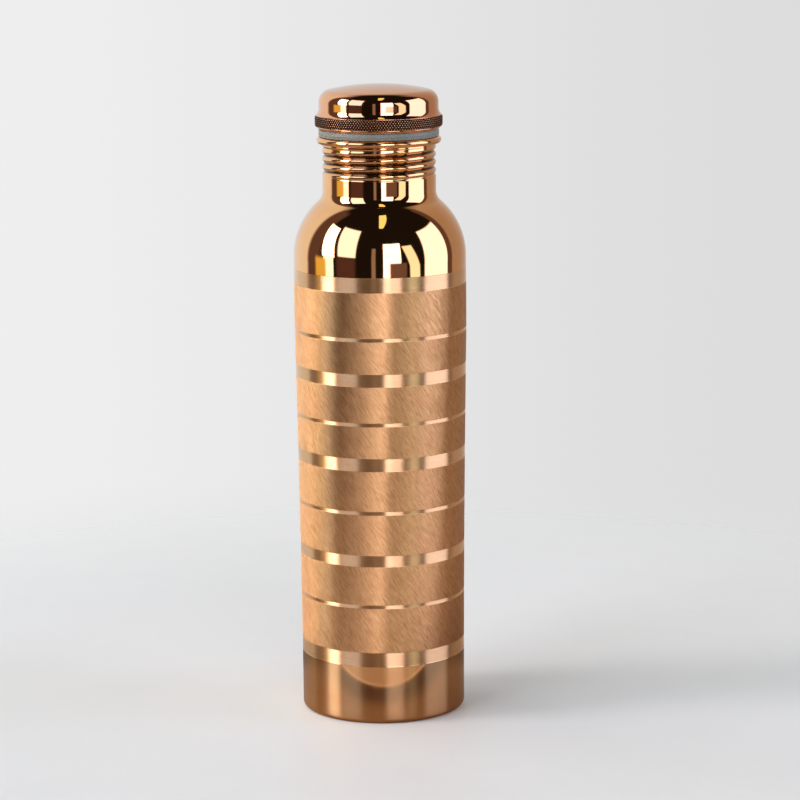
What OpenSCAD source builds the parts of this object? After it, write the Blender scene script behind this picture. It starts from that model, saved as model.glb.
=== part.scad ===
// Copper water bottle with a screw-in cap.
// Millimetres, +Z up, origin at the centre of the circle that the foot stands on.

/* [Body] */
// Outer diameter where the body is widest
body_d = 72; // [70:0.5:76]
// Outer diameter just above the foot
foot_d = 68.8; // [66:0.2:69.6]
// Height at which the body reaches its full diameter
taper_top = 162; // [140:1:180]
// How late the body swells on its way up: 1 is a straight cone
taper_power = 1.75; // [1:0.05:2.5]
// Outer radius of the corner round the foot
foot_corner_r = 2; // [1.5:0.1:3]
// Thickness of the copper sheet
wall = 0.65; // [0.6:0.05:0.8]

/* [Shoulder and neck] */
// Height at which the side turns into the shoulder
shoulder_z = 193.2; // [185:0.1:195]
// Outer radius of the shoulder's curve
shoulder_r = 30.2; // [28:0.1:32]
// Radius of the hollow curve from shoulder to neck
fillet_r = 5.9; // [5:0.1:7]
// Outer diameter of the neck
neck_d = 47.36; // [47:0.02:48]
// Height of the middle of the curled rim
rim_z = 241.6; // [241.5:0.05:242]
// Outer radius of the curl's own section
curl_r = 1.46; // [1.4:0.01:1.5]

/* [Thread] */
// Rise for one turn of the right-handed thread
pitch = 3.3; // [3:0.1:3.6]
// How deep the thread is rolled into the sheet
thread_depth = 0.85; // [0.6:0.05:0.95]
// How narrow the grooves are beside the ridges: 1 is an even wave
groove_power = 1.5; // [1:0.1:2.2]
// Radial gap between the two threads
thread_gap = 0.3; // [0.25:0.05:0.4]
// Height of the middle of the lowest groove at angle 0
groove_z = 227.25; // [226.5:0.05:228]
// Lowest height that the grooves reach as they run out
thread_low = 226.4; // [226.4:0.1:227]
// Highest height that the grooves reach as they run out
thread_high = 239.4; // [238:0.1:239.4]

/* [Base] */
// Inner radius of the hem that the body turns under its foot
hem_r = 31.4; // [30.5:0.1:31.6]
// Height of the recess under the base at its edge
recess = 4.5; // [4.1:0.1:7]
// How much higher the base is at its middle
base_rise = 1.2; // [0.5:0.1:3]

/* [Cap] */
// Height of the top of the dome above the foot
cap_top = 264.5; // [263.5:0.1:265.5]
// Radius of the dome's curve
dome_r = 98.5; // [90:0.5:120]
// Radius of the corner between dome and side
cap_corner_r = 5.2; // [4.5:0.1:6]
// Outer radius of the side under the corner
cap_r = 24.9; // [24.6:0.05:25.1]
// Outer radius of the knurled bead
bead_r = 26.55; // [26.4:0.05:26.8]
// Radius of the bead's rounded edges
bead_edge_r = 1.75; // [1.7:0.05:1.8]
// Height of the lower end of the bead's upright face
bead_low = 248.3; // [248.2:0.05:248.4]
// Height of the upper end of the bead's upright face
bead_high = 250.75; // [250.5:0.05:251]
// Outer radius of the folded edge under the bead
skirt_r = 25.4; // [25.35:0.05:25.45]
// Height of the cap's lowest edge
skirt_z = 246.1; // [246:0.05:246.15]
// Height of the underside of the plug that goes into the neck
plug_z = 223; // [221:0.1:224]

/* [Seal] */
// Outer radius of the seal ring
seal_r = 25; // [24.8:0.05:25.4]
// Inner radius of the seal ring
seal_hole_r = 22.2; // [22.1:0.05:22.4]

/* [Hidden] */
$fn = 96;
body_r = body_d / 2;
foot_r = foot_d / 2;
neck_r = neck_d / 2;
bore_r = neck_r - wall;
foot_arc = [foot_r - foot_corner_r, foot_corner_r];
// The shoulder's curve is centred inside the body, the fillet's outside the neck.
shoulder_arc = [body_r - shoulder_r, shoulder_z];
fillet_x = neck_r + fillet_r;
fillet_z = shoulder_z + sqrt(pow(shoulder_r + fillet_r, 2) - pow(fillet_x - shoulder_arc.x, 2));
shoulder_turn = atan2(fillet_z - shoulder_z, fillet_x - shoulder_arc.x);
rim_arc = [bore_r + curl_r, rim_z];
rim_top = rim_z + curl_r;
// Angle at which the curl's edge stops, just short of the neck
curl_end = -110;
// The rolled stretch of sheet is a mesh between two flat rings.
roll_low = 226.2;
roll_high = 239.6;
runout = 2;
turn_steps = 36;
pitch_steps = 6;
// The mesh stays this far inside the flat rings' edges, and clear of their chords.
mesh_inset = 0.02;
chord_inset = 0.12;
crest_r = bore_r - thread_gap;
root_r = crest_r - thread_depth;
face_gap = 0.02;
solder_gap = 0.05;
base_corner_r = 1.2;
flange_r = skirt_r - wall - solder_gap;
// The bead's section runs from bead_from to bead_to, as angles above the horizontal. A hollow
// curve leads into it from the cap's upright side.
bead_x = bead_r - bead_edge_r;
bead_from = 45;
bead_to = -68;
hollow_r = (bead_x + bead_edge_r * cos(bead_from) - cap_r) / (1 - cos(bead_from));
hollow_arc = [cap_r + hollow_r, bead_high + (bead_edge_r + hollow_r) * sin(bead_from)];
skirt_fold_r = 0.5;
skirt_lip_r = 23;
base_lip_r = 31.75;
plug_corner_r = 2;
seal_edge_r = 0.5;
copper = [0.80, 0.52, 0.34];
cap_copper = [0.82, 0.50, 0.36];
silicone = [0.66, 0.71, 0.68];

function arc(middle, r, from, to, steps, first = 0) =
    [for (i = [first:steps]) let (a = from + (to - from) * i / steps) middle + r * [cos(a), sin(a)]];

function reversed(list) = [for (i = [len(list) - 1:-1:0]) list[i]];

// Outer radius of the body's gently swelling side
function side_r(z) =
    foot_r + (body_r - foot_r) * pow((z - foot_corner_r) / (taper_top - foot_corner_r), taper_power);

// The body's outline from foot to neck, a distance t inside its outer face
function body_side(t) = concat(
    arc(foot_arc, foot_corner_r - t, -90, 0, 6),
    [for (i = [1:12]) let (z = foot_corner_r + (taper_top - foot_corner_r) * i / 12) [side_r(z) - t, z]],
    arc(shoulder_arc, shoulder_r - t, 0, shoulder_turn, 14),
    arc([fillet_x, fillet_z], fillet_r + t, 180 + shoulder_turn, 180, 8, 1)
);

// How deep the groove is at a height and an angle, from 0 on the ridges to 1
function groove(z, a) = pow((1 + cos(360 * (z - groove_z) / pitch - a)) / 2, groove_power);

// 0 outside the threaded stretch and 1 well inside it
function thread_fade(z) =
    max(0, min(1, (z - thread_low) / runout, (thread_high - z) / runout));

// A tube whose outer radius at a height and an angle is shape(z, a). Its rows of points climb
// with the thread, and rows past either end are pressed onto that end.
module rolled_tube(shape) {
    rows = ceil(((roll_high - roll_low) / pitch + 2) * pitch_steps);
    heights = [for (j = [0:rows], i = [0:turn_steps - 1])
        max(roll_low, min(roll_high, roll_low + pitch * (j / pitch_steps + i / turn_steps - 1)))];
    function ring(inset) = [for (k = [0:len(heights) - 1]) let (
        a = (k % turn_steps) * 360 / turn_steps,
        z = heights[k],
        r = shape(z, a) - inset
    ) [r * cos(a), r * sin(a), z]];
    points = concat(ring(mesh_inset), ring(wall - chord_inset));
    half = len(heights);
    // The point i steps round on row j: a full turn later it is the same point a pitch higher.
    function at(j, i, side) = side * half
        + (i < turn_steps ? j * turn_steps + i : (j + pitch_steps) * turn_steps + i - turn_steps);
    skin = [for (j = [0:rows - 1], i = [0:turn_steps - 1]) if (i < turn_steps - 1 || j + pitch_steps < rows)
        each [
            [at(j, i, 0), at(j + 1, i, 0), at(j + 1, i + 1, 0), at(j, i + 1, 0)],
            [at(j, i, 1), at(j, i + 1, 1), at(j + 1, i + 1, 1), at(j + 1, i, 1)]
        ]];
    last = rows - pitch_steps;
    ends = [for (i = [0:turn_steps - 1]) each [
        [at(0, i, 0), at(0, i + 1, 0), at(0, i + 1, 1), at(0, i, 1)],
        [at(last, i, 1), at(last, i + 1, 1), at(last, i + 1, 0), at(last, i, 0)]
    ]];
    triangles = [for (q = concat(skin, ends), t = [[q[0], q[1], q[2]], [q[0], q[2], q[3]]])
        if (points[t[0]] != points[t[1]] && points[t[1]] != points[t[2]] && points[t[2]] != points[t[0]]) t];
    polyhedron(points, triangles);
}

// Drawn copper shell: foot hem, side, shoulder, neck with its rolled thread, and curled rim
module bottle_body() color(copper) {
    rotate_extrude() polygon(concat(
        [[hem_r, 0]],
        body_side(0),
        [[neck_r, roll_low], [bore_r, roll_low]],
        reversed(body_side(wall)),
        [[hem_r, wall]]
    ));
    rolled_tube(function(z, a) neck_r - thread_depth * groove(z, a) * thread_fade(z));
    rotate_extrude() polygon(concat(
        [[bore_r, roll_high]],
        arc(rim_arc, curl_r, 180, curl_end, 24),
        arc(rim_arc, curl_r - wall, curl_end, 180, 24),
        [[neck_r, roll_high]]
    ));
}

// Pressed base that closes the foot: its skirt stands on the body's hem
module base_cup() {
    skirt_out = foot_r - wall - solder_gap;
    fold_r = skirt_out - foot_arc.x;
    fold = [foot_arc.x, wall + fold_r];
    corner = [skirt_out - base_corner_r, recess + wall - base_corner_r];
    function dish(z) =
        [for (i = [1:10]) let (x = 1 - i / 10) [corner.x * x, z + base_rise * (1 - x * x)]];
    color(copper) rotate_extrude() polygon(concat(
        [[base_lip_r, wall]],
        arc(fold, fold_r, -90, 0, 5),
        arc(corner, base_corner_r, 0, 90, 5),
        dish(recess + wall),
        reversed(dish(recess)),
        arc(corner, base_corner_r - wall, 90, 0, 5),
        arc(fold, fold_r - wall, 0, -90, 5),
        [[base_lip_r, 2 * wall]]
    ));
}

// Silicone ring round the plug, pressed between the rim and the cap's turned-in edge
module seal_ring() color(silicone) {
    low = rim_top + face_gap;
    high = skirt_z - face_gap;
    rotate_extrude() polygon(concat(
        [[seal_hole_r, low]],
        arc([seal_r - seal_edge_r, low + seal_edge_r], seal_edge_r, -90, 0, 5),
        arc([seal_r - seal_edge_r, high - seal_edge_r], seal_edge_r, 0, 90, 5),
        [[seal_hole_r, high]]
    ));
}

// Domed outer shell of the cap with its pressed-out bead, turned in under the plug's flange
module cap_shell() {
    dome_arc = [0, cap_top - dome_r];
    corner_x = cap_r - cap_corner_r;
    corner = [corner_x, dome_arc.y + sqrt(pow(dome_r - cap_corner_r, 2) - pow(corner_x, 2))];
    corner_turn = atan2(corner.y - dome_arc.y, corner.x);
    fold = [skirt_r - skirt_fold_r, skirt_z + skirt_fold_r];
    function crown(t) = concat(
        arc(dome_arc, dome_r - t, 90, corner_turn, 8),
        arc(corner, cap_corner_r - t, corner_turn, 0, 10, 1)
    );
    function bead(t) = concat(
        arc(hollow_arc, hollow_r + t, 180, 180 + bead_from, 6),
        arc([bead_x, bead_high], bead_edge_r - t, bead_from, 0, 5, 1),
        arc([bead_x, bead_low], bead_edge_r - t, 0, bead_to, 8)
    );
    color(cap_copper) rotate_extrude() polygon(concat(
        crown(0),
        bead(0),
        arc(fold, skirt_fold_r, 0, -90, 5),
        [[skirt_lip_r, skirt_z], [skirt_lip_r, skirt_z + wall], [skirt_r - wall, skirt_z + wall]],
        reversed(bead(wall)),
        reversed(crown(wall))
    ));
}

// Drawn cup of the cap: the flange held by the shell, the male thread and the closed end
module cap_plug() color(cap_copper) {
    flange_z = skirt_z + wall;
    corner = [root_r - plug_corner_r, plug_z + plug_corner_r];
    rotate_extrude() polygon(concat(
        [[0, plug_z]],
        arc(corner, plug_corner_r, -90, 0, 6),
        [[root_r, roll_low], [root_r - wall, roll_low]],
        arc(corner, plug_corner_r - wall, 0, -90, 6),
        [[0, plug_z + wall]]
    ));
    rolled_tube(function(z, a) root_r + thread_depth * (1 - groove(z, a)) * thread_fade(z));
    rotate_extrude() polygon([
        [root_r, roll_high],
        [root_r, flange_z],
        [flange_r, flange_z],
        [flange_r, flange_z + wall],
        [root_r - wall, flange_z + wall],
        [root_r - wall, roll_high]
    ]);
}

bottle_body();
base_cup();
seal_ring();
cap_shell();
cap_plug();
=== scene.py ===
"""Copper water bottle with a screw-in cap: the detailed pieces, their finishes, the stage, the camera."""

import math

import bpy
import numpy as np
from mathutils import Matrix, Vector


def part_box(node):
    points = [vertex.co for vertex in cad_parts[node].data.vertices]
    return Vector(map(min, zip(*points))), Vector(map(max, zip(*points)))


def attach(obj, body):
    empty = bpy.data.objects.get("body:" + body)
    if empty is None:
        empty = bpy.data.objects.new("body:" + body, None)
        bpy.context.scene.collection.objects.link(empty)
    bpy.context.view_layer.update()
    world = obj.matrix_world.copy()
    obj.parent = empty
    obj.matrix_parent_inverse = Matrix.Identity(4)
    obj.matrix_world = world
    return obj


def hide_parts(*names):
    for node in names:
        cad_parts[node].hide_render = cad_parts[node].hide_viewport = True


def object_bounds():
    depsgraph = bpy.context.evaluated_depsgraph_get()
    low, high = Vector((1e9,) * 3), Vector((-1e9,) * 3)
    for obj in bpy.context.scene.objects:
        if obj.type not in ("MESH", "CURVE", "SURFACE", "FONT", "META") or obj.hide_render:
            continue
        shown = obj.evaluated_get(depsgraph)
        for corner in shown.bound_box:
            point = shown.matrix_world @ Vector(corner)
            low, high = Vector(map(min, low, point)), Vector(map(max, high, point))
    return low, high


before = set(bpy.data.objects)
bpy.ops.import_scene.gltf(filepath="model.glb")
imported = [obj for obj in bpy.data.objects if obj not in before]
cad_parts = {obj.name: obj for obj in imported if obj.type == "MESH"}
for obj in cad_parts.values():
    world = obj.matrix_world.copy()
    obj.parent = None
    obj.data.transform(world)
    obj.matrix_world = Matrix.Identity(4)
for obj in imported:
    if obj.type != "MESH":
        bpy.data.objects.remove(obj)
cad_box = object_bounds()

MM = 0.001
TINY = 1e-7

# ---------------------------------------------------------------- sizes, in metres
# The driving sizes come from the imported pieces.
BODY_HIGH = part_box("bottle_body")[1]
SEAL_LOW, SEAL_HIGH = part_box("seal_ring")
SHELL_LOW, SHELL_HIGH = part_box("cap_shell")
PLUG_LOW, PLUG_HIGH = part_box("cap_plug")
BASE_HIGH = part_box("base_cup")[1]

WALL = 0.65 * MM
BODY_R = BODY_HIGH.x
FOOT_R = BODY_R - 1.6 * MM
FOOT_CORNER_R = 2 * MM
HEM_R = FOOT_R - 3 * MM
HEM_FLAT = 0.3 * MM
TAPER_TOP = 162 * MM
TAPER_POWER = 1.75
SHOULDER_Z = 193.2 * MM
SHOULDER_R = 30.2 * MM
FILLET_R = 5.9 * MM
NECK_R = 23.68 * MM
BORE_R = NECK_R - WALL
CURL_R = 1.46 * MM
CURL_END = -110
RIM_Z = BODY_HIGH.z - CURL_R

PITCH = 3.3 * MM
THREAD_DEPTH = 0.85 * MM
THREAD_GAP = 0.3 * MM
GROOVE_Z = 227.25 * MM
THREAD_LOW = 226.4 * MM
THREAD_HIGH = 239.4 * MM
ROLL_LOW = 226.2 * MM
ROLL_HIGH = 239.6 * MM
RUNOUT = 2 * MM
GROOVE_POWER = 1.5
THREAD_STEP = 0.12 * MM
INNER_THREAD_STEP = 0.2 * MM
PLUG_ROOT_R = BORE_R - THREAD_GAP - THREAD_DEPTH
PLUG_CORNER_R = 2 * MM
FLANGE_R = PLUG_HIGH.x
FLANGE_FOLD_R = 0.5 * MM

BASE_SKIRT_R = BASE_HIGH.x
BASE_LIP_R = HEM_R + 0.35 * MM
BASE_CORNER_R = 1.2 * MM
BASE_RECESS = 4.5 * MM
BASE_RISE = 1.2 * MM

# The bead's section: two rounded edges with an upright face between them.
BEAD_EDGE_R = 1.75 * MM
BEAD_LOW, BEAD_HIGH = 248.3 * MM, 250.75 * MM
BEAD_X = SHELL_HIGH.x - BEAD_EDGE_R
BEAD_FROM, BEAD_TO = 45, -68
CAP_R = 24.9 * MM
CAP_CORNER_R = 5.2 * MM
DOME_R = 98.5 * MM
SKIRT_R = 25.4 * MM
SKIRT_FOLD_R = 0.5 * MM
SKIRT_LIP_R = 23 * MM

SEAL_R = SEAL_HIGH.x
SEAL_HOLE_R = 22.2 * MM
SEAL_EDGE_R = 0.5 * MM
SEAL_PARTING = 0.06 * MM

# In millimetres: heights of the turned bands (low, high) and of the middles of the fine turned rings.
BANDS = [(24.7, 30.6), (67.5, 72.2), (107.9, 113.2), (143.3, 148.55), (182.3, 188.4)]
FINE_RINGS = [50.35, 90.2, 127.45, 162.8]
FINE_RING_WIDTH = 1.45
# How deep a turned band is cut through the brushed skin, and how wide its edge is.
CUT = 0.025 * MM
CUT_EDGE = 0.06 * MM

KNURL_COUNT = 142
KNURL_ROW = 1.66 * MM
KNURL_DEPTH = 0.22 * MM
KNURL_FROM, KNURL_TO = 40, -32
KNURL_FADE = 0.3 * MM
# Points round the bead for each ridge, rings down it for each row, and how much of a ridge is cut flat.
KNURL_STEPS = 8
KNURL_RINGS = 14
KNURL_TIP = 1.25

SEGMENTS = 320
SIDE_RINGS = 64


# ---------------------------------------------------------------- outlines
def arc(centre, radius, start, end, steps):
    """Points (radius, height) along an arc, angles in degrees."""
    turns = np.radians(np.linspace(start, end, steps + 1))
    return [(centre[0] + radius * math.cos(a), centre[1] + radius * math.sin(a)) for a in turns]


def side_radius(z):
    """Outer radius of the body's side at height z, between the foot's corner and the shoulder."""
    share = min(1.0, (z - FOOT_CORNER_R) / (TAPER_TOP - FOOT_CORNER_R))
    return FOOT_R + (BODY_R - FOOT_R) * share**TAPER_POWER


SHOULDER_CENTRE = (BODY_R - SHOULDER_R, SHOULDER_Z)
FILLET_X = NECK_R + FILLET_R
FILLET_OUT = FILLET_X - SHOULDER_CENTRE[0]
FILLET_Z = SHOULDER_Z + math.sqrt((SHOULDER_R + FILLET_R) ** 2 - FILLET_OUT**2)
SHOULDER_TURN = math.degrees(math.atan2(FILLET_Z - SHOULDER_Z, FILLET_OUT))
FOOT_CENTRE = (FOOT_R - FOOT_CORNER_R, FOOT_CORNER_R)
RIM_CENTRE = (BORE_R + CURL_R, RIM_Z)


def groove(z, turn):
    """Depth of the thread at height z and angle turn (radians), from 0 at its crest to 1 at its root."""
    phase = 2 * math.pi * (z - GROOVE_Z) / PITCH - turn
    return ((1 + np.cos(phase)) / 2) ** GROOVE_POWER


def thread_fade(z):
    """The thread runs out towards both of its ends."""
    return max(0.0, min(1.0, (z - THREAD_LOW) / RUNOUT, (THREAD_HIGH - z) / RUNOUT))


# ---------------------------------------------------------------- turned meshes
def turns_of(count):
    """The angles of evenly spaced points round a ring."""
    return np.arange(count) * 2 * math.pi / count


class Ring:
    """One ring of points about Z, and the finish of the strip from it to the next ring."""

    def __init__(self, radius, height, finish, hollow=0.0, count=SEGMENTS):
        self.count = 1 if np.ndim(radius) == 0 and radius < TINY else count
        self.turns = turns_of(self.count)
        self.radius = np.broadcast_to(radius, self.count)
        self.height = np.broadcast_to(height, self.count)
        self.hollow = np.broadcast_to(hollow, self.count)
        self.finish = finish

    def points(self):
        x, y = self.radius * np.cos(self.turns), self.radius * np.sin(self.turns)
        return np.stack([x, y, self.height], 1)


def rings_of(points, finish):
    """Plain rings along an outline. finish is a name, or a function of height that gives one."""
    named = finish if callable(finish) else lambda z: finish
    return [Ring(r, z, named(z)) for r, z in points]


def strip(first, second, start, after):
    """The faces between two rings.

    One ring may be a single point, or have a multiple of the other's points.
    """
    if first.count == second.count:
        n = first.count
        return [(start + i, start + (i + 1) % n, after + (i + 1) % n, after + i) for i in range(n)]
    if first.count == 1:
        n = second.count
        return [(start, after + (i + 1) % n, after + i) for i in range(n)]
    if second.count == 1:
        n = first.count
        return [(start + i, start + (i + 1) % n, after) for i in range(n)]
    faces = []
    if first.count < second.count:
        n, many = first.count, second.count // first.count
        for i in range(n):
            fine = [after + (i * many + k) % second.count for k in range(many, -1, -1)]
            faces.append((start + i, start + (i + 1) % n, *fine))
    else:
        n, many = second.count, first.count // second.count
        for i in range(n):
            fine = [start + (i * many + k) % first.count for k in range(many + 1)]
            faces.append((*fine, after + (i + 1) % n, after + i))
    return faces


def turn_mesh(name, rings, finishes, joined=True):
    """A piece turned about Z from its rings, bottom to top along its outside.

    joined closes the last ring to the first.
    """
    starts = np.cumsum([0] + [ring.count for ring in rings])
    pairs = list(zip(range(len(rings) - 1), range(1, len(rings))))
    if joined:
        pairs.append((len(rings) - 1, 0))
    faces, slots = [], []
    order = list(finishes)
    for a, b in pairs:
        made = strip(rings[a], rings[b], int(starts[a]), int(starts[b]))
        faces += made
        slots += [order.index(rings[a].finish)] * len(made)
    mesh = bpy.data.meshes.new(name)
    mesh.from_pydata(np.concatenate([ring.points() for ring in rings]).tolist(), [], faces)
    mesh.polygons.foreach_set("material_index", slots)
    mesh.polygons.foreach_set("use_smooth", [True] * len(faces))
    hollow = np.concatenate([ring.hollow for ring in rings]).astype(np.float32)
    mesh.attributes.new("hollow", "FLOAT", "POINT").data.foreach_set("value", hollow)
    mesh.update()
    piece = bpy.data.objects.new(name, mesh)
    bpy.context.scene.collection.objects.link(piece)
    for material in finishes.values():
        mesh.materials.append(material)
    return piece


# ---------------------------------------------------------------- node helper
class Graph:
    """A node tree that is filled with short calls."""

    def __init__(self, owner):
        owner.use_nodes = True
        self.tree = owner.node_tree
        self.tree.nodes.clear()

    def feed(self, socket, value):
        if isinstance(value, bpy.types.NodeSocket):
            self.tree.links.new(value, socket)
        elif value is not None:
            socket.default_value = value

    def add(self, kind, inputs=None, **settings):
        node = self.tree.nodes.new(kind)
        for key, value in settings.items():
            setattr(node, key, value)
        for key, value in (inputs or {}).items():
            self.feed(node.inputs[key], value)
        return node

    def math(self, operation, a, b=None, c=None):
        node = self.add("ShaderNodeMath", operation=operation)
        for socket, value in zip(node.inputs, (a, b, c)):
            self.feed(socket, value)
        return node.outputs[0]

    def scaled(self, vector, factors):
        node = self.add("ShaderNodeVectorMath", {0: vector, 1: factors}, operation="MULTIPLY")
        return node.outputs[0]

    def length(self, vector):
        return self.add("ShaderNodeVectorMath", {0: vector}, operation="LENGTH").outputs["Value"]

    def ramp(self, value, low, high, to_low=0.0, to_high=1.0):
        """A smooth step from to_low at low to to_high at high."""
        inputs = {"Value": value, "From Min": low, "From Max": high, "To Min": to_low, "To Max": to_high}
        return self.add("ShaderNodeMapRange", inputs, interpolation_type="SMOOTHSTEP").outputs[0]

    def noise(self, vector, scale, detail, roughness):
        inputs = {"Vector": vector, "Scale": scale, "Detail": detail, "Roughness": roughness}
        return self.add("ShaderNodeTexNoise", inputs).outputs["Fac"]

    def mix(self, share, a, b):
        """Colour a where share is 0, and colour b where it is 1."""
        node = self.add("ShaderNodeMix", data_type="RGBA")
        self.feed(node.inputs["Factor"], share)
        self.feed(node.inputs[6], a)
        self.feed(node.inputs[7], b)
        return node.outputs[2]


def colour(red, green, blue):
    return (red, green, blue, 1.0)


# ---------------------------------------------------------------- finishes
COPPER = (0.87, 0.425, 0.18)
COPPER_RED = (0.80, 0.35, 0.145)
TURNED_COPPER = (0.90, 0.50, 0.235)
BRUSHED_COPPER = (0.77, 0.375, 0.14)
# Painted shade for the scratches' valleys and painted glints for their ridges.
BRUSHED_PAINTED_SHADE = (0.32, 0.105, 0.035)
BRUSHED_PAINTED_GLINT = (0.96, 0.62, 0.34)
FOOT_COPPER = (0.90, 0.50, 0.215)
FOOT_RED = (0.82, 0.38, 0.15)
CAP_COPPER = (0.82, 0.37, 0.18)
CAP_RED = (0.73, 0.28, 0.13)
# Near-black: the colour of the tarnish spots, and of hollows, where it is patina and painted shade.
PATINA_AND_SHADE = (0.022, 0.009, 0.005)
SILICONE_DARK = (0.165, 0.152, 0.108)
SILICONE_PALE = (0.25, 0.228, 0.165)

# Brushing: how far it leans from the vertical, and the size of its scratches.
SCRATCH_STEEPNESS = 57
SCRATCH_ACROSS = 0.34 * MM
SCRATCH_ALONG = 3.4 * MM


def tinted(tint, share):
    return colour(*[c * share for c in tint])


def copper_tones(graph, place, tint, red_tint, amount):
    """The metal's colour, with slow clouds of a redder tone."""
    clouds = graph.noise(graph.scaled(place, (1, 1, 1.6)), 45, 4, 0.6)
    share = graph.ramp(clouds, 0.42, 0.72, 0, amount)
    return graph.mix(share, colour(*tint), colour(*red_tint))


def with_patina_and_shade(graph, base, low, high, most):
    """Patina and painted shade in hollows: a darker tone from those low deep to those high deep."""
    hollow = graph.add("ShaderNodeAttribute", attribute_name="hollow").outputs["Fac"]
    return graph.mix(graph.ramp(hollow, low, high, 0, most), base, colour(*PATINA_AND_SHADE))


def with_specks(graph, place, base, amount):
    """Sparse dark tarnish spots."""
    near = graph.add("ShaderNodeTexVoronoi", {"Vector": place, "Scale": 110.0, "Randomness": 1.0})
    size = graph.noise(place, 60, 1, 0.5)
    spot = graph.math("LESS_THAN", near.outputs["Distance"], graph.ramp(size, 0.6, 0.85, 0.0, 0.12))
    return graph.mix(graph.math("MULTIPLY", spot, amount), base, colour(*PATINA_AND_SHADE))


def finish(graph, base, rough, bump, **constants):
    """The shader, its surface detail and the output. constants are set on the shader's own sockets."""
    inputs = {"Base Color": base, "Roughness": rough, "Metallic": 1.0}
    shader = graph.add("ShaderNodeBsdfPrincipled", inputs)
    for key, value in constants.items():
        graph.feed(shader.inputs[key.replace("_", " ").title()], value)
    graph.feed(shader.inputs["Normal"], bump)
    graph.add("ShaderNodeOutputMaterial", {"Surface": shader.outputs[0]})
    return shader


def bumped(graph, height, distance, below=None):
    inputs = {"Height": height, "Distance": distance, "Strength": 1.0, "Normal": below}
    return graph.add("ShaderNodeBump", inputs).outputs[0]


def around(graph):
    """The direction round the Z axis, for reflections that smear across it."""
    return graph.add("ShaderNodeTangent", direction_type="RADIAL", axis="Z").outputs[0]


def polished(name, tint, red_tint, rough, haze, patina_and_shade=0.6):
    """Spun and buffed copper: a near mirror with slight waves, faint spinning marks, a few spots, and
    patina and painted shade darkening the valleys of any thread.
    """
    material = bpy.data.materials.new(name)
    graph = Graph(material)
    place = graph.add("ShaderNodeTexCoord").outputs["Object"]
    base = copper_tones(graph, place, tint, red_tint, 0.45)
    base = with_specks(graph, place, base, 0.8)
    # Painted shade, with patina, darkens the hollows of threads and knurling.
    base = with_patina_and_shade(graph, base, 0.35, 1.0, patina_and_shade)
    waves = graph.noise(place, 70, 1, 0.5)
    marks = graph.noise(graph.scaled(place, (60, 60, 2600)), 1, 2, 0.6)
    bump = bumped(graph, waves, 0.03 * MM)
    bump = bumped(graph, marks, 0.0012 * MM, bump)
    smear = graph.noise(graph.scaled(place, (90, 90, 150)), 1, 5, 0.65)
    finish(graph, base, graph.ramp(smear, 0.35, 0.75, rough, rough + haze), bump)
    return material


def turned(name, tint, red_tint):
    """A band cut on the lathe: its grooves keep reflections sharp sideways and smear them upwards."""
    material = bpy.data.materials.new(name)
    graph = Graph(material)
    place = graph.add("ShaderNodeTexCoord").outputs["Object"]
    base = copper_tones(graph, place, tint, red_tint, 0.35)
    lines = graph.noise(graph.scaled(place, (25, 25, 5200)), 1, 3, 0.7)
    base = graph.mix(graph.ramp(lines, 0.35, 0.65, 0, 0.1), base, tinted(tint, 0.62))
    bump = bumped(graph, lines, 0.004 * MM)
    wobble = graph.noise(graph.scaled(place, (120, 120, 900)), 1, 2, 0.6)
    bump = bumped(graph, wobble, 0.008 * MM, bump)
    rough = graph.ramp(lines, 0.3, 0.7, 0.27, 0.33)
    finish(graph, base, rough, bump, anisotropic=1.0, anisotropic_rotation=0.25, tangent=around(graph))
    return material


def brushed(name, tint, red_tint):
    """Copper brushed at a slant: long fine scratches that lean the same way all round, with painted shade
    and painted glints along them.
    """
    material = bpy.data.materials.new(name)
    graph = Graph(material)
    place = graph.add("ShaderNodeTexCoord").outputs["Object"]
    height = graph.add("ShaderNodeSeparateXYZ", {0: place}).outputs["Z"]
    # Turning each point back by an angle that grows with height makes the slanted scratches upright.
    twist = 1 / (math.tan(math.radians(SCRATCH_STEEPNESS)) * BODY_R)
    upright = graph.add("ShaderNodeVectorRotate", {"Vector": place}, rotation_type="Z_AXIS")
    graph.feed(upright.inputs["Angle"], graph.math("MULTIPLY", height, twist))
    along = graph.scaled(upright.outputs[0], (1 / SCRATCH_ACROSS, 1 / SCRATCH_ACROSS, 1 / SCRATCH_ALONG))
    scratches = graph.noise(along, 1, 4, 0.75)
    coarse = graph.noise(graph.scaled(along, (0.37, 0.37, 0.8)), 1, 2, 0.6)
    base = copper_tones(graph, place, tint, red_tint, 0.5)
    # Painted shade where the scratches are low, and painted glints where they are high.
    base = graph.mix(graph.ramp(scratches, 0.3, 0.55, 0.6, 0), base, colour(*BRUSHED_PAINTED_SHADE))
    base = graph.mix(graph.ramp(scratches, 0.5, 0.72, 0, 0.55), base, colour(*BRUSHED_PAINTED_GLINT))
    bump = bumped(graph, scratches, 0.014 * MM)
    rough = graph.ramp(coarse, 0.35, 0.65, 0.29, 0.38)
    turn = (90 - SCRATCH_STEEPNESS) / 360
    finish(graph, base, rough, bump, anisotropic=1.0, anisotropic_rotation=turn, tangent=around(graph))
    return material


def knurled(name, tint, red_tint):
    """Copper in the knurling: bright on the points, dark in the valleys with patina and painted shade."""
    material = bpy.data.materials.new(name)
    graph = Graph(material)
    place = graph.add("ShaderNodeTexCoord").outputs["Object"]
    base = copper_tones(graph, place, tint, red_tint, 0.6)
    # Painted shade with patina: the knurl's valleys go nearly black.
    base = with_patina_and_shade(graph, base, 0.04, 0.28, 0.98)
    grit = graph.noise(place, 2500, 3, 0.6)
    hollow = graph.add("ShaderNodeAttribute", attribute_name="hollow").outputs["Fac"]
    finish(graph, base, graph.ramp(hollow, 0.05, 0.4, 0.12, 0.55), bumped(graph, grit, 0.008 * MM))
    return material


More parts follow.
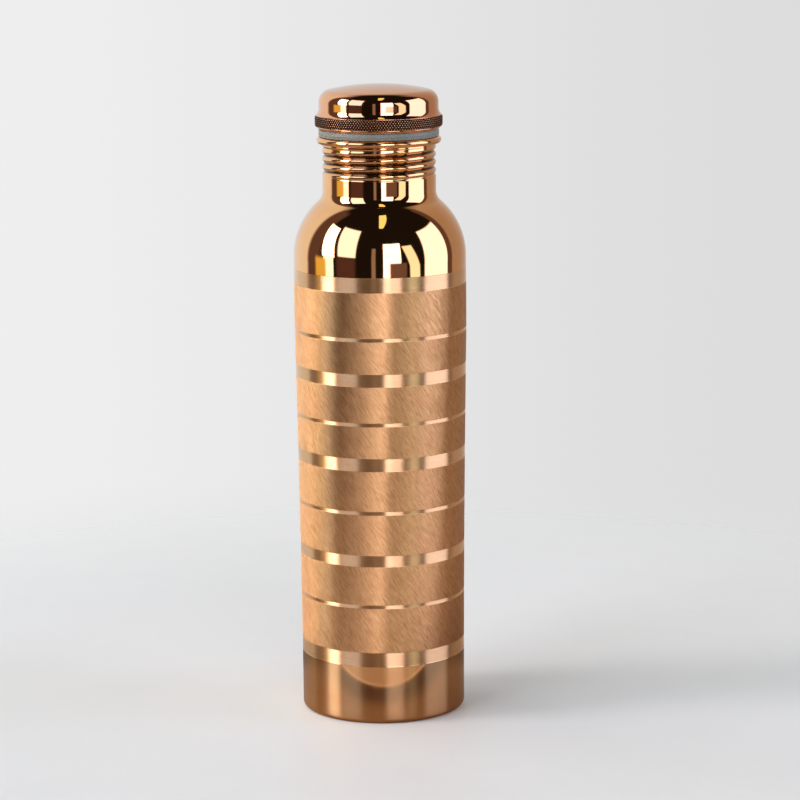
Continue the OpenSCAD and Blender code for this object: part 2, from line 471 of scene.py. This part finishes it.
def raw_copper(name, tint, red_tint):
    """The unpolished inside: dull, with the marks of spinning and darker clouds."""
    material = bpy.data.materials.new(name)
    graph = Graph(material)
    place = graph.add("ShaderNodeTexCoord").outputs["Object"]
    base = copper_tones(graph, place, tint, red_tint, 0.9)
    stains = graph.noise(place, 130, 5, 0.65)
    base = graph.mix(graph.ramp(stains, 0.5, 0.75, 0, 0.5), base, tinted(red_tint, 0.4))
    marks = graph.noise(graph.scaled(place, (40, 40, 1500)), 1, 3, 0.6)
    bump = bumped(graph, marks, 0.02 * MM)
    finish(graph, base, graph.ramp(marks, 0.3, 0.7, 0.3, 0.45), bump)
    return material


def silicone(name):
    """Grey silicone with a slight bloom on its surface."""
    material = bpy.data.materials.new(name)
    graph = Graph(material)
    place = graph.add("ShaderNodeTexCoord").outputs["Object"]
    bloom = graph.noise(place, 260, 4, 0.6)
    base = graph.mix(bloom, colour(*SILICONE_DARK), colour(*SILICONE_PALE))
    grain = graph.noise(place, 3000, 2, 0.5)
    rough = graph.ramp(bloom, 0.3, 0.7, 0.38, 0.55)
    shader = finish(graph, base, rough, bumped(graph, grain, 0.002 * MM))
    shader.inputs["Metallic"].default_value = 0.0
    shader.inputs["Subsurface Weight"].default_value = 0.25
    shader.inputs["Subsurface Radius"].default_value = (1.0, 1.0, 1.0)
    shader.inputs["Subsurface Scale"].default_value = 1.2 * MM
    return material


# ---------------------------------------------------------------- the bottle's body
def cut_edges():
    """(low, high) of every turned band and fine ring, in metres."""
    half = FINE_RING_WIDTH / 2
    spans = BANDS + [(z - half, z + half) for z in FINE_RINGS]
    return sorted((low * MM, high * MM) for low, high in spans)


def body_finish(z):
    """The finish of the body's side at height z."""
    if any(low - TINY <= z < high - TINY for low, high in cut_edges()):
        return "turned"
    low, high = BANDS[0][0] * MM, BANDS[-1][1] * MM
    if z < low:
        return "foot"
    return "brushed" if z < high - TINY else "polished"


def body_side():
    """Points up the side, with close rings at the edges of every turned band."""
    cuts = {float(z): 0.0 for z in np.linspace(FOOT_CORNER_R, SHOULDER_Z, SIDE_RINGS)}
    margin = 2 * CUT_EDGE
    for low, high in cut_edges():
        cuts = {z: cut for z, cut in cuts.items() if not low - margin < z < high + margin}
        for edge, inward in ((low, 1), (high, -1)):
            cuts[edge - inward * margin] = 0.0
            cuts[edge - inward * CUT_EDGE] = 0.0
            cuts[edge] = CUT
            cuts[edge + inward * CUT_EDGE] = CUT
    return [(side_radius(z) - cuts[z], z) for z in sorted(cuts)]


def threaded(radius_at, low, high, finish_name, step=THREAD_STEP):
    """Rings up a stretch of thread. radius_at(z, turns) gives the radii, and how deep each point lies."""
    rings = []
    for z in np.linspace(low, high, max(2, round(abs(high - low) / step))):
        radius, depth = radius_at(z, turns_of(SEGMENTS))
        rings.append(Ring(radius, z, finish_name, hollow=depth))
    return rings


def neck_radius(inset):
    """The neck's radii for threaded(), inset from its outside."""

    def radius_at(z, turns):
        depth = groove(z, turns) * thread_fade(z)
        return NECK_R - inset - THREAD_DEPTH * depth, depth

    return radius_at


def make_body(finishes):
    outside = arc(FOOT_CENTRE, FOOT_CORNER_R, -90, 0, 10)[:-1]
    shoulder = arc(SHOULDER_CENTRE, SHOULDER_R, 0, SHOULDER_TURN, 48)[1:]
    fillet = arc((FILLET_X, FILLET_Z), FILLET_R, 180 + SHOULDER_TURN, 180, 20)[1:]
    rings = rings_of([(HEM_R, 0.0), (HEM_R + HEM_FLAT, 0.0)] + outside, "foot")
    rings += rings_of(body_side(), body_finish)
    rings += rings_of(shoulder + fillet, "polished")
    rings += threaded(neck_radius(0), ROLL_LOW, ROLL_HIGH, "neck")
    rings += rings_of(arc(RIM_CENTRE, CURL_R - WALL, 180, CURL_END, 24), "neck")
    rings += rings_of(arc(RIM_CENTRE, CURL_R, CURL_END, 180, 40), "neck")
    rings += threaded(neck_radius(WALL), ROLL_HIGH, ROLL_LOW, "inside", INNER_THREAD_STEP)
    inner = arc((FILLET_X, FILLET_Z), FILLET_R + WALL, 180, 180 + SHOULDER_TURN, 12)[1:]
    inner += arc(SHOULDER_CENTRE, SHOULDER_R - WALL, SHOULDER_TURN, 0, 24)
    inner += [(side_radius(z) - WALL, z) for z in np.linspace(SHOULDER_Z, FOOT_CORNER_R, 20)][1:]
    inner += arc(FOOT_CENTRE, FOOT_CORNER_R - WALL, 0, -90, 8)[1:]
    rings += rings_of(inner + [(HEM_R, WALL)], "inside")
    return turn_mesh("bottle_body_turned", rings, finishes)


# ---------------------------------------------------------------- the base cup
def make_base(finishes):
    fold_r = BASE_SKIRT_R - FOOT_CENTRE[0]
    fold = (FOOT_CENTRE[0], WALL + fold_r)
    corner = (BASE_SKIRT_R - BASE_CORNER_R, BASE_RECESS + WALL - BASE_CORNER_R)

    def dish(height):
        """From just inside the corner to the middle, which rises a little."""
        shares = np.cos(np.linspace(0, math.pi / 2, 24))[1:-1]
        middle = (0.0, height + BASE_RISE)
        return [(corner[0] * s, height + BASE_RISE * (1 - s * s)) for s in shares] + [middle]

    upper = [(BASE_LIP_R, WALL)] + arc(fold, fold_r, -90, 0, 8) + arc(corner, BASE_CORNER_R, 0, 90, 8)
    upper += dish(BASE_RECESS + WALL)
    lower = dish(BASE_RECESS)[::-1] + arc(corner, BASE_CORNER_R - WALL, 90, 0, 8)
    lower += arc(fold, fold_r - WALL, 0, -90, 8) + [(BASE_LIP_R, 2 * WALL)]
    rings = rings_of(upper[:-1], "inside") + rings_of(upper[-1:], "underside")
    rings += rings_of(lower[1:], "underside")
    return turn_mesh("base_cup_turned", rings, finishes)


# ---------------------------------------------------------------- the seal
def make_seal(finishes):
    low, high = SEAL_LOW.z, SEAL_HIGH.z
    middle = (low + high) / 2
    edge = SEAL_EDGE_R
    outer = arc((SEAL_R - edge, low + edge), edge, -90, 0, 6)
    # The mould's parting line stands out a little at the middle.
    outer += [(SEAL_R, middle - 2 * SEAL_PARTING)]
    outer += [(SEAL_R + SEAL_PARTING, middle)]
    outer += [(SEAL_R, middle + 2 * SEAL_PARTING)]
    outer += arc((SEAL_R - edge, high - edge), edge, 0, 90, 6)
    inner = [(SEAL_HOLE_R + edge, high), (SEAL_HOLE_R, high - edge)]
    inner += [(SEAL_HOLE_R, low + edge), (SEAL_HOLE_R + edge, low)]
    return turn_mesh("seal_ring_moulded", rings_of(outer + inner, "silicone"), finishes)


# ---------------------------------------------------------------- the cap's shell
def knurl(along, turns):
    """Height of the diamond knurling, 0 to 1, at a distance down the bead and at angles about Z."""
    round_share = KNURL_COUNT * turns / (2 * math.pi)
    down_share = along / KNURL_ROW

    def ridge(share):
        return 1 - np.abs(2 * (share % 1.0) - 1)

    crossed = np.minimum(ridge(round_share + down_share), ridge(round_share - down_share))
    return np.minimum(1.0, KNURL_TIP * crossed)


def knurled_bead():
    """Fine rings down the bead, pressed in between the knurling's points."""
    upper = math.radians(KNURL_FROM) * BEAD_EDGE_R
    face = BEAD_HIGH - BEAD_LOW
    length = upper + face + math.radians(-KNURL_TO) * BEAD_EDGE_R
    count = KNURL_COUNT * KNURL_STEPS
    rings = []
    for along in np.linspace(0, length, round(length / KNURL_ROW * KNURL_RINGS) + 1):
        turn = (max(0.0, upper - along) - max(0.0, along - upper - face)) / BEAD_EDGE_R
        centre_z = BEAD_HIGH - min(face, max(0.0, along - upper))
        fade = max(0.0, min(1.0, along / KNURL_FADE, (length - along) / KNURL_FADE))
        depth = (1 - knurl(along, turns_of(count))) * fade
        section = BEAD_EDGE_R - KNURL_DEPTH * depth
        radius = BEAD_X + section * math.cos(turn)
        height = centre_z + section * math.sin(turn)
        rings.append(Ring(radius, height, "knurled", hollow=depth, count=count))
    return rings


def make_shell(finishes):
    dome = (0.0, SHELL_HIGH.z - DOME_R)
    corner_x = CAP_R - CAP_CORNER_R
    corner = (corner_x, dome[1] + math.sqrt((DOME_R - CAP_CORNER_R) ** 2 - corner_x**2))
    turn = math.degrees(math.atan2(corner[1] - dome[1], corner_x))
    low, high = (BEAD_X, BEAD_LOW), (BEAD_X, BEAD_HIGH)
    skirt = (SKIRT_R - SKIRT_FOLD_R, SHELL_LOW.z + SKIRT_FOLD_R)
    # A hollow curve leads from the bead into the cap's upright side.
    rise = math.radians(BEAD_FROM)
    hollow_r = (BEAD_X + BEAD_EDGE_R * math.cos(rise) - CAP_R) / (1 - math.cos(rise))
    hollow = (CAP_R + hollow_r, BEAD_HIGH + (BEAD_EDGE_R + hollow_r) * math.sin(rise))

    def dome_points(thickness):
        """From the middle of the dome out to the foot of its rounded corner."""
        top = arc(dome, DOME_R - thickness, 90, turn, 24)[:-1]
        return top + arc(corner, CAP_CORNER_R - thickness, turn, 0, 20)

    # Outside, from the skirt's fold up to the middle of the dome.
    rings = rings_of([(SKIRT_LIP_R, SHELL_LOW.z)] + arc(skirt, SKIRT_FOLD_R, -90, 0, 8), "polished")
    rings += rings_of(arc(low, BEAD_EDGE_R, BEAD_TO, KNURL_TO, 5)[:-1], "polished")
    rings += knurled_bead()[::-1]
    rings[-1].finish = "polished"
    rings += rings_of(arc(high, BEAD_EDGE_R, KNURL_FROM, BEAD_FROM, 2)[1:], "polished")
    rings += rings_of(arc(hollow, hollow_r, 180 + BEAD_FROM, 180, 12)[1:], "polished")
    rings += rings_of(dome_points(0)[::-1], "polished")
    # Inside, back down.
    rings += rings_of(dome_points(WALL)[:-1] + [(CAP_R - WALL, corner[1])], "inside")
    inner_bead = arc(hollow, hollow_r + WALL, 180, 180 + BEAD_FROM, 8)
    inner_bead += arc(high, BEAD_EDGE_R - WALL, BEAD_FROM, 0, 8)[1:]
    inner_bead += arc(low, BEAD_EDGE_R - WALL, 0, BEAD_TO, 10)
    rings += rings_of(inner_bead, "inside")
    lip_top = SHELL_LOW.z + WALL
    rings += rings_of([(SKIRT_R - WALL, lip_top), (SKIRT_LIP_R, lip_top)], "inside")
    return turn_mesh("cap_shell_knurled", rings, finishes)


# ---------------------------------------------------------------- the cap's plug
def plug_radius(inset):
    """The plug's radii for threaded(), inset from its outside."""

    def radius_at(z, turns):
        depth = groove(z, turns)
        fade = thread_fade(z)
        return PLUG_ROOT_R - inset + THREAD_DEPTH * (1 - depth) * fade, depth * fade

    return radius_at


def make_plug(finishes):
    low, top = PLUG_LOW.z, PLUG_HIGH.z
    corner = (PLUG_ROOT_R - PLUG_CORNER_R, low + PLUG_CORNER_R)
    shares = np.linspace(0, 1, 8)[:-1]
    outside = [(corner[0] * s, low) for s in shares] + arc(corner, PLUG_CORNER_R, -90, 0, 12)
    rings = rings_of(outside, "polished")
    rings += threaded(plug_radius(0), ROLL_LOW, ROLL_HIGH, "polished")
    under = top - WALL
    fold = (PLUG_ROOT_R + FLANGE_FOLD_R, under - FLANGE_FOLD_R)
    flange = arc(fold, FLANGE_FOLD_R, 180, 90, 6) + [(FLANGE_R, under), (FLANGE_R, top)]
    rings += rings_of(flange, "polished")
    rings += rings_of([(PLUG_ROOT_R - WALL, top)], "inside")
    rings += threaded(plug_radius(WALL), ROLL_HIGH, ROLL_LOW, "inside", INNER_THREAD_STEP)
    inner = arc(corner, PLUG_CORNER_R - WALL, 0, -90, 8)
    rings += rings_of(inner + [(corner[0] * s, low + WALL) for s in shares[::-1]], "inside")
    return turn_mesh("cap_plug_threaded", rings, finishes, joined=False)


# ---------------------------------------------------------------- stage, light and camera
class Pane:
    """A bright or dark shape in the surroundings.

    Its left and right are azimuths in degrees, 0 towards -Y and 90 towards +X, and hold at elevation 0.
    Its low and high are elevations. Its sides move left by lean and right_lean degrees for each degree up.
    """

    def __init__(self, left, right, low, high, light, lean=0.0, right_lean=None, soft=1.2):
        self.left, self.right, self.low, self.high = left, right, low, high
        self.lean, self.right_lean = lean, lean if right_lean is None else right_lean
        self.light, self.soft = light, soft


ROOM = (0.012, 0.011, 0.011)
TABLE = (0.30, 0.28, 0.27)
WALL_LEFT = (0.95, 1.12, 1.22)
WALL_RIGHT = (0.44, 0.385, 0.335)
BACKDROP_LEFT = (0.86, 0.86, 0.86)
BACKDROP_RIGHT = (0.72, 0.72, 0.72)
# Where the dim room ends and the pale walls show, sideways and upwards, and where the table starts.
ROOM_SIDE_FROM, ROOM_SIDE_TO = 104, 114
ROOM_TOP_FROM, ROOM_TOP_TO = 50, 72
TABLE_FROM, TABLE_TO = -11.5, -14
PANES = [
    Pane(-112, -88, -12, 60, (0.13, 0.09, 0.09), soft=4),
    Pane(-60, -33, -12, 4, (0.10, 0.06, 0.06), soft=3),
    Pane(-82, -63, 3, 41, (8.5, 9.0, 10.5), lean=0.25, right_lean=0.2),
    Pane(-81, -65, -12, 2.5, (2.4, 3.0, 3.9)),
    Pane(-95, -77, -14, 0, (0.95, 0.85, 0.2), soft=3),
    Pane(-57, -33, 5, 46, (1.9, 2.4, 3.4), lean=0.2, right_lean=0.0),
    Pane(-11, -6, -12, 20, (0.35, 0.32, 0.33)),
    Pane(4.5, 28, -12, 27, (4.0, 4.4, 5.8), soft=0.8),
    Pane(13, 36, -12, -3, (0.18, 0.13, 0.14), soft=1.5),
    Pane(38, 52, -12, 22, (1.5, 1.9, 2.0), lean=0.34),
    Pane(62, 102, -12, 38, (2.1, 2.5, 3.6)),
    Pane(102, 112, -12, 60, (0.13, 0.09, 0.09), soft=2),
    Pane(-1, -41, 53, 76, (1.5, 1.7, 0.9), right_lean=-0.9, soft=0.8),
]


def mask_of(graph, pane, azimuth, elevation):
    """1 inside a pane, 0 outside, with soft edges."""
    from_left = graph.math("MULTIPLY_ADD", elevation, pane.lean, azimuth)
    from_right = graph.math("MULTIPLY_ADD", elevation, pane.right_lean, azimuth)
    edges = [
        graph.ramp(from_left, pane.left - pane.soft, pane.left + pane.soft),
        graph.ramp(from_right, pane.right + pane.soft, pane.right - pane.soft),
        graph.ramp(elevation, pane.low - pane.soft, pane.low + pane.soft),
        graph.ramp(elevation, pane.high + pane.soft, pane.high - pane.soft),
    ]
    mask = edges[0]
    for edge in edges[1:]:
        mask = graph.math("MULTIPLY", mask, edge)
    return mask


def make_surroundings():
    """A dim room with windows for the metal to reflect. The camera sees a plain pale backdrop."""
    world = bpy.data.worlds.new("studio")
    bpy.context.scene.world = world
    graph = Graph(world)
    direction = graph.add("ShaderNodeTexCoord").outputs["Generated"]
    parts = graph.add("ShaderNodeSeparateXYZ", {0: direction})
    x, y, z = parts.outputs
    azimuth = graph.math("ARCTAN2", x, graph.math("MULTIPLY", y, -1.0))
    azimuth = graph.math("MULTIPLY", azimuth, math.degrees(1))
    elevation = graph.math("MULTIPLY", graph.math("ARCSINE", z), math.degrees(1))
    wall = graph.mix(graph.ramp(x, -0.9, 0.9), colour(*WALL_LEFT), colour(*WALL_RIGHT))
    behind = graph.ramp(graph.math("ABSOLUTE", azimuth), ROOM_SIDE_FROM, ROOM_SIDE_TO)
    behind = graph.math("MULTIPLY", behind, graph.ramp(elevation, ROOM_TOP_TO, ROOM_TOP_FROM))
    light = graph.mix(behind, colour(*ROOM), wall)
    for pane in PANES:
        light = graph.mix(mask_of(graph, pane, azimuth, elevation), light, colour(*pane.light))
    light = graph.mix(graph.ramp(elevation, TABLE_FROM, TABLE_TO), light, colour(*TABLE))
    sideways = graph.ramp(x, -0.14, 0.14)
    backdrop = graph.mix(sideways, colour(*BACKDROP_LEFT), colour(*BACKDROP_RIGHT))
    seen = graph.add("ShaderNodeLightPath").outputs["Is Camera Ray"]
    lit = graph.mix(seen, light, backdrop)
    shader = graph.add("ShaderNodeBackground", {"Color": lit, "Strength": 1.0})
    graph.add("ShaderNodeOutputWorld", {"Surface": shader.outputs[0]})


FLOOR_GAP = 0.02 * MM
FLOOR_FADE_FROM, FLOOR_FADE_TO = 0.16, 0.5
FLOOR_DULL = (0.74, 0.69, 0.62)
FLOOR_PALE = (0.79, 0.735, 0.66)
# What the metal reflects of the floor: an oval that darkens outwards, its bright edge, and the rest.
OVAL = (1 / (150 * MM), 1 / (92 * MM), 0)
OVAL_MIDDLE = (0.25, 0.155, 0.10)
OVAL_DARK = (0.09, 0.05, 0.035)
OVAL_EDGE = (0.75, 0.55, 0.42)
OVAL_EDGE_WIDTH = 0.012
PAST_OVAL = (0.46, 0.34, 0.26)


def make_floor():
    """A pale floor that fades into the backdrop, and that shows a dark oval in the metal's reflections."""
    bpy.ops.mesh.primitive_circle_add(vertices=96, radius=FLOOR_FADE_TO, fill_type="NGON")
    floor = bpy.context.object
    floor.name = "floor"
    floor.location.z = cad_box[0].z - FLOOR_GAP
    material = bpy.data.materials.new("pale_floor")
    graph = Graph(material)
    place = graph.add("ShaderNodeTexCoord").outputs["Object"]
    grain = graph.noise(place, 25, 5, 0.6)
    base = graph.mix(grain, colour(*FLOOR_DULL), colour(*FLOOR_PALE))
    pale = graph.add("ShaderNodeBsdfPrincipled", {"Base Color": base, "Roughness": 0.5})
    across = graph.length(graph.scaled(place, OVAL))
    dim = graph.mix(graph.ramp(across, 0.55, 0.85), colour(*OVAL_MIDDLE), colour(*OVAL_DARK))
    dim = graph.mix(graph.ramp(across, 0.95, 1.0), dim, colour(*PAST_OVAL))
    dim = graph.mix(graph.math("COMPARE", across, 1.0, OVAL_EDGE_WIDTH), dim, colour(*OVAL_EDGE))
    inputs = {"Base Color": dim, "Roughness": 0.4, "Specular IOR Level": 0.3}
    glossy = graph.add("ShaderNodeBsdfPrincipled", inputs)
    reflected = graph.add("ShaderNodeLightPath").outputs["Is Glossy Ray"]
    shaded = graph.add("ShaderNodeMixShader", {0: reflected, 1: pale.outputs[0], 2: glossy.outputs[0]})
    clear = graph.add("ShaderNodeBsdfTransparent")
    fade = graph.ramp(graph.length(place), FLOOR_FADE_FROM, FLOOR_FADE_TO)
    out = graph.add("ShaderNodeMixShader", {0: fade, 1: shaded.outputs[0], 2: clear.outputs[0]})
    graph.add("ShaderNodeOutputMaterial", {"Surface": out.outputs[0]})
    floor.data.materials.append(material)


SUN_STRENGTH = 1.4
SUN_SPREAD = 70
SUN_TILT = (8, -42, 0)


def make_light():
    """Broad soft light from above for the floor and the seal. The metal doesn't reflect it."""
    data = bpy.data.lights.new("overhead", "SUN")
    data.energy = SUN_STRENGTH
    data.angle = math.radians(SUN_SPREAD)
    light = bpy.data.objects.new("overhead", data)
    light.rotation_euler = [math.radians(angle) for angle in SUN_TILT]
    light.visible_glossy = False
    bpy.context.scene.collection.objects.link(light)


# The camera stands in front of the bottle and above its cap, and looks slightly down.
CAMERA_DISTANCE = 1.2595
CAMERA_HEIGHT = 0.3666
CAMERA_PITCH, CAMERA_YAW, CAMERA_ROLL = 10.575, 0.36, -0.46
CAMERA_LENS = 136.82
CAMERA_SENSOR = 36


def make_camera():
    data = bpy.data.cameras.new("camera")
    data.lens = CAMERA_LENS
    data.sensor_width = CAMERA_SENSOR
    camera = bpy.data.objects.new("camera", data)
    turn = Matrix.Rotation(math.radians(-CAMERA_YAW), 4, "Z")
    tilt = Matrix.Rotation(math.radians(90 - CAMERA_PITCH), 4, "X")
    roll = Matrix.Rotation(math.radians(CAMERA_ROLL), 4, "Z")
    place = Matrix.Translation(Vector((0, -CAMERA_DISTANCE, CAMERA_HEIGHT)))
    camera.matrix_world = place @ turn @ tilt @ roll
    bpy.context.scene.collection.objects.link(camera)
    bpy.context.scene.camera = camera


# ---------------------------------------------------------------- putting it together
make_camera()
make_surroundings()
make_floor()
make_light()

body_metal = {
    "foot": polished("polished_foot", FOOT_COPPER, FOOT_RED, rough=0.045, haze=0.06),
    "turned": turned("turned_bands", TURNED_COPPER, COPPER_RED),
    "brushed": brushed("brushed_copper", BRUSHED_COPPER, COPPER_RED),
    "polished": polished("polished_shoulder", COPPER, COPPER_RED, rough=0.03, haze=0.03),
    # The neck's thread valleys are darkened hard: painted shade with patina.
    "neck": polished("polished_neck", COPPER, COPPER_RED, rough=0.08, haze=0.07, patina_and_shade=0.95),
    "inside": raw_copper("raw_inside", COPPER, COPPER_RED),
}
base_metal = {
    "inside": raw_copper("raw_base_inside", COPPER, COPPER_RED),
    "underside": raw_copper("raw_underside", COPPER, COPPER_RED),
}
cap_metal = {
    "polished": polished("polished_cap", CAP_COPPER, CAP_RED, rough=0.035, haze=0.04),
    "knurled": knurled("knurled_copper", CAP_COPPER, CAP_RED),
    "inside": raw_copper("raw_cap_inside", CAP_COPPER, CAP_RED),
}
plug_metal = {
    "polished": polished("polished_plug", CAP_COPPER, CAP_RED, rough=0.08, haze=0.08),
    "inside": raw_copper("raw_plug_inside", CAP_COPPER, CAP_RED),
}
PIECES = [
    (make_body(body_metal), "bottle_body", "bottle", "body_copper"),
    (make_base(base_metal), "base_cup", "bottle", "base_copper"),
    (make_seal({"silicone": silicone("silicone")}), "seal_ring", "seal", "silicone"),
    (make_shell(cap_metal), "cap_shell", "cap", "cap_copper"),
    (make_plug(plug_metal), "cap_plug", "cap", "plug_copper"),
]
for piece, node, body, slot in PIECES:
    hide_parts(node)
    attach(piece, body)

bpy.context.scene.view_settings.view_transform = "Standard"
